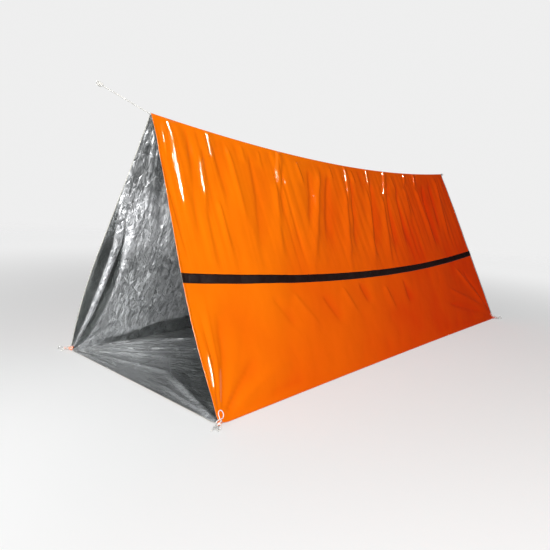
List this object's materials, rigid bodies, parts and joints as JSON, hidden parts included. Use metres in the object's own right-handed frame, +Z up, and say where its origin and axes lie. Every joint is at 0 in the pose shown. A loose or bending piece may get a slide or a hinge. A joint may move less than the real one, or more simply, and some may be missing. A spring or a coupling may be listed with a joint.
{
  "type": "emergency tube tent",
  "caption": "Open-ended emergency tube tent of thin orange film with a silver inside, hung over a sagging ridge cord, with cord ties at its bottom corners and hooked wire pegs.",
  "frame": {"origin": "middle of the flat underside of the ground sheet, at ground level", "axes": "+Z up, +Y along the ridge from the open front with the free cord to the open back, +X to the right as seen from the front"},
  "size_m": [0.9959, 2.5877, 1.1152],
  "materials": {
    "film_orange": "glossy orange film outside, crinkled silver inside",
    "film_silver": "crinkled silver foil film",
    "band_black": "satin black tape",
    "cord_white": "matt white twisted cord",
    "peg_steel": "satin bare wire"
  },
  "bodies": {
    "tent": {"ground_sheet": "film_silver", "right_wall": "film_orange", "left_wall": "film_orange", "right_band": "band_black", "left_band": "band_black", "ridge_cord": "cord_white", "front_guy": "cord_white", "front_knot": "cord_white", "back_knot": "cord_white", "front_right_gather": "film_orange", "front_right_tie": "cord_white", "front_left_gather": "film_orange", "front_left_tie": "cord_white", "back_right_gather": "film_orange", "back_right_tie": "cord_white", "back_left_gather": "film_orange", "back_left_tie": "cord_white"},
    "front_right_peg": {"front_right_peg": "peg_steel"},
    "front_left_peg": {"front_left_peg": "peg_steel"},
    "back_right_peg": {"back_right_peg": "peg_steel"},
    "back_left_peg": {"back_left_peg": "peg_steel"}
  },
  "joints": [
    {"name": "front_right_peg_pull", "type": "slide", "parent": "tent", "child": "front_right_peg", "axis": [0.147, -0.147, 0.9781], "range_m": [0, 0.16]},
    {"name": "front_left_peg_pull", "type": "slide", "parent": "tent", "child": "front_left_peg", "axis": [-0.147, -0.147, 0.9781], "range_m": [0, 0.16]},
    {"name": "back_right_peg_pull", "type": "slide", "parent": "tent", "child": "back_right_peg", "axis": [0.147, 0.147, 0.9781], "range_m": [0, 0.16]},
    {"name": "back_left_peg_pull", "type": "slide", "parent": "tent", "child": "back_left_peg", "axis": [-0.147, 0.147, 0.9781], "range_m": [0, 0.16]}
  ]
}
